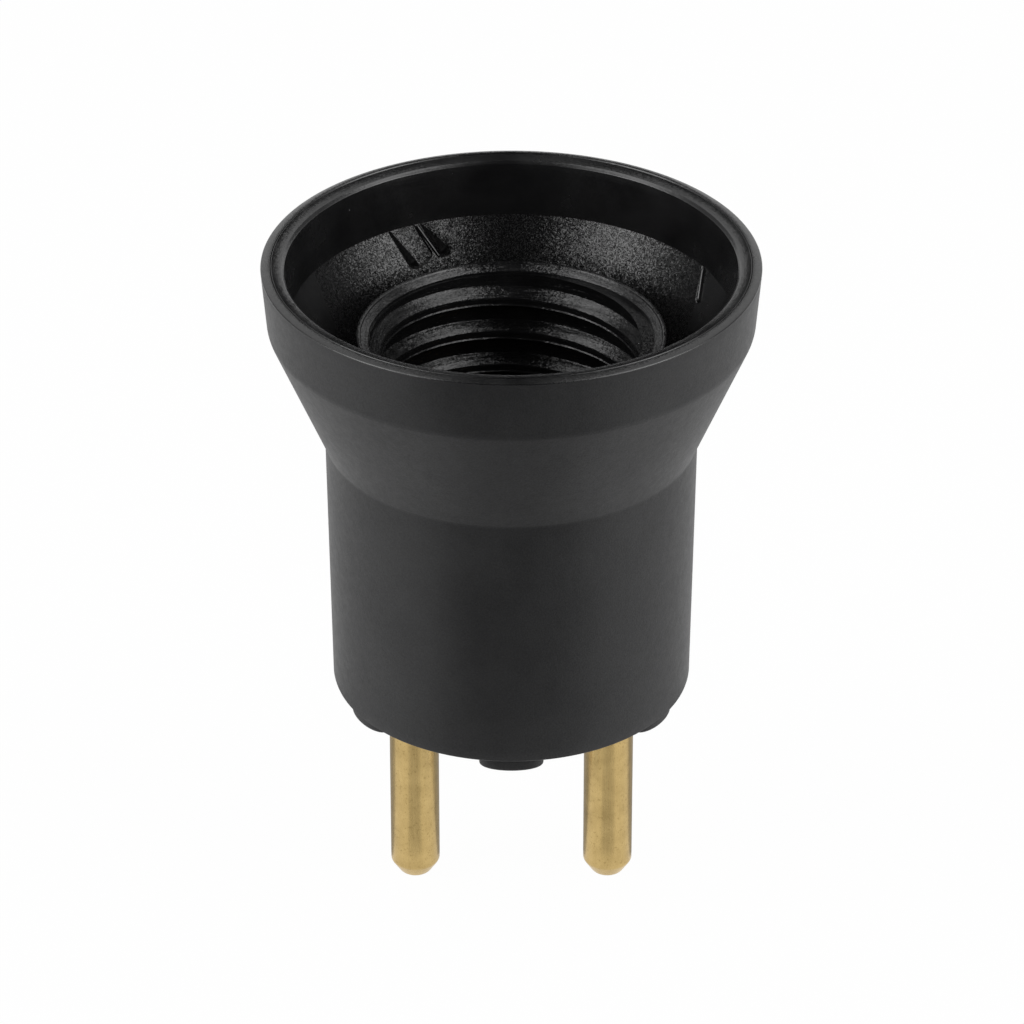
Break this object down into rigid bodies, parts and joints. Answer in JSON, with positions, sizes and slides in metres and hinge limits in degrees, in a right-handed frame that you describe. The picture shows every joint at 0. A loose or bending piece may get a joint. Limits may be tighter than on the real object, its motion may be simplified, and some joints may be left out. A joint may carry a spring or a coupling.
{
  "type": "lamp socket adapter",
  "caption": "Plug-in lamp holder: a black moulded bell with a screw-thread cup for a lamp inside it, and bare round brass plug pins under its base.",
  "frame": {"origin": "on the axis, midway between the plug pins, in the plane of the feet that seat on the outlet", "axes": "+Z along the axis out of the lamp's mouth, X through both pins, front towards -Y"},
  "size_m": [0.0466, 0.0466, 0.0681],
  "materials": {
    "shell_plastic": "black moulding, satin outside and in the mouth, fine spark-eroded grain on the inner cone",
    "sleeve_plastic": "smooth black moulding",
    "pin_brass": "turned and tumbled brass, faint scratches",
    "leaf_brass": "rolled brass strip",
    "plated_steel": "zinc plated steel"
  },
  "bodies": {
    "holder": {"body_shell": "shell_plastic", "thread_sleeve": "sleeve_plastic", "pin_left": "pin_brass", "pin_right": "pin_brass", "washer_left": "plated_steel", "washer_right": "plated_steel", "nut_left": "plated_steel", "nut_right": "plated_steel"},
    "centre_leaf": {"centre_contact": "leaf_brass"},
    "side_leaf": {"side_contact": "leaf_brass"}
  },
  "joints": [
    {"name": "centre_leaf_flex", "type": "hinge", "parent": "holder", "child": "centre_leaf", "pos_m": [-0.0062, 0, 0.0072], "axis": [0, 1, 0], "range_deg": [0, 12], "stiffness_Nm_per_rad": 0.15, "deforming": ["centre_contact"]},
    {"name": "side_leaf_flex", "type": "hinge", "parent": "holder", "child": "side_leaf", "pos_m": [0.01305, 0, 0.0072], "axis": [0, 1, 0], "range_deg": [0, 2.5], "stiffness_Nm_per_rad": 1.2, "deforming": ["side_contact"]}
  ]
}
